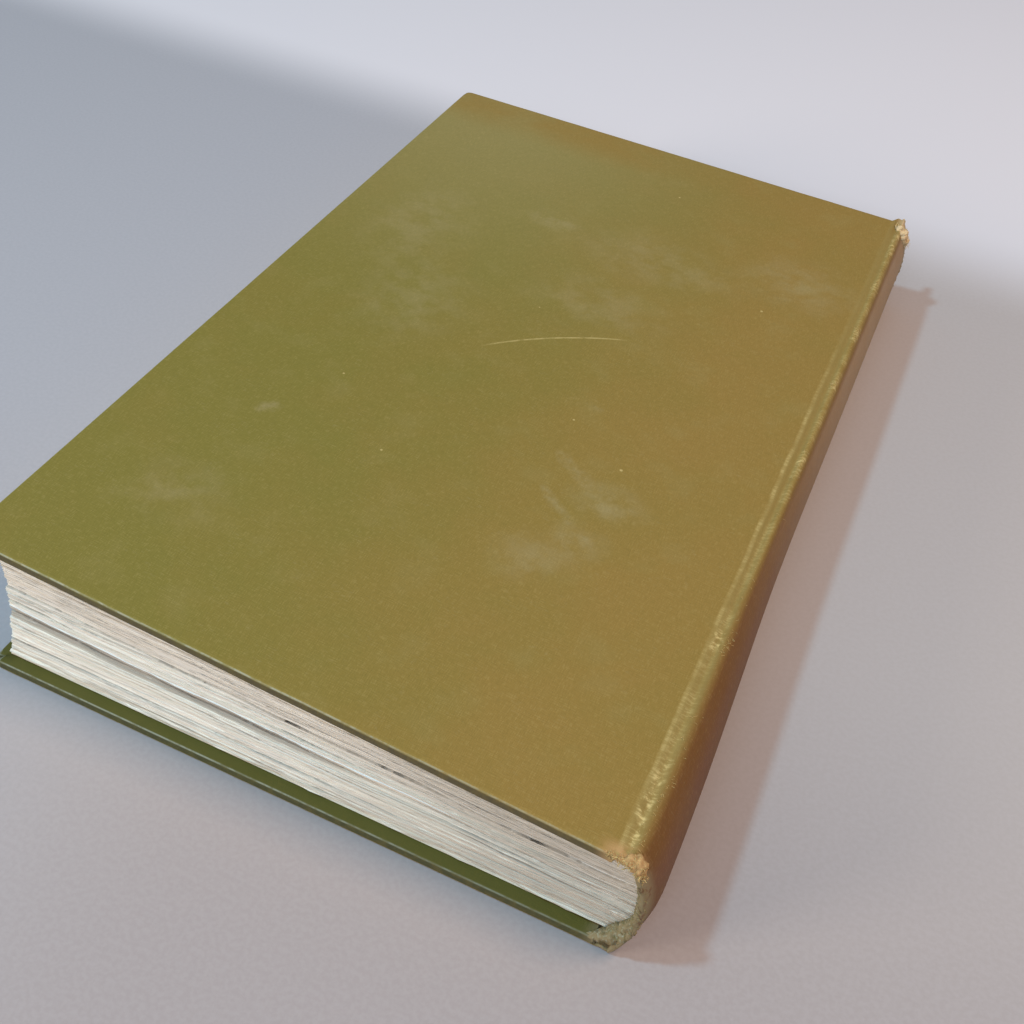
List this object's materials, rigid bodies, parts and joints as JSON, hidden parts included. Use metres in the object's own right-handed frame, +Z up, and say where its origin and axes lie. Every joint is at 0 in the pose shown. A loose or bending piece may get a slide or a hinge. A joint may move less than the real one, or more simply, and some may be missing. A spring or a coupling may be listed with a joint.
{
  "type": "hardback book",
  "caption": "Thick cloth hardback book lying closed, with hinged covers, rounded spine and fanned, worn pages.",
  "frame": {"origin": "on the surface that the book lies on, under the middle of the closed book", "axes": "+Z up from the front cover's face, +Y from tail to head, +X from the fore-edge to the spine"},
  "size_m": [0.1512, 0.25, 0.0402],
  "materials": {
    "board": "matt grey-brown binder's board",
    "cover_cloth": "worn olive green book cloth",
    "spine_cloth": "book cloth faded to brown",
    "endpaper": "matt cream paper",
    "pages": "aged cream paper, rough edges",
    "mull": "open-weave cotton with dried glue",
    "thread": "linen thread",
    "lining_paper": "brown lining paper"
  },
  "bodies": {
    "front_cover": {"front_board": "board", "front_cover_cloth": "cover_cloth", "front_mull_flange": "mull", "front_pastedown": "endpaper"},
    "pages_and_spine": {"front_flyleaf": "endpaper", "text_block": "pages", "sewing_thread": "thread", "mull": "mull", "spine_lining": "lining_paper", "spine_inlay": "board", "spine_cloth": "spine_cloth", "back_flyleaf": "endpaper"},
    "back_cover": {"back_pastedown": "endpaper", "back_mull_flange": "mull", "back_cover_cloth": "cover_cloth", "back_board": "board"}
  },
  "joints": [
    {"name": "front_joint", "type": "hinge", "parent": "front_cover", "child": "pages_and_spine", "pos_m": [0.06867, 0, -0.0004], "axis": [0, 1, 0], "range_deg": [0, 90]},
    {"name": "back_joint", "type": "hinge", "parent": "pages_and_spine", "child": "back_cover", "pos_m": [0.06962, 0, 0.0289], "axis": [0, 1, 0], "range_deg": [0, 180]}
  ]
}
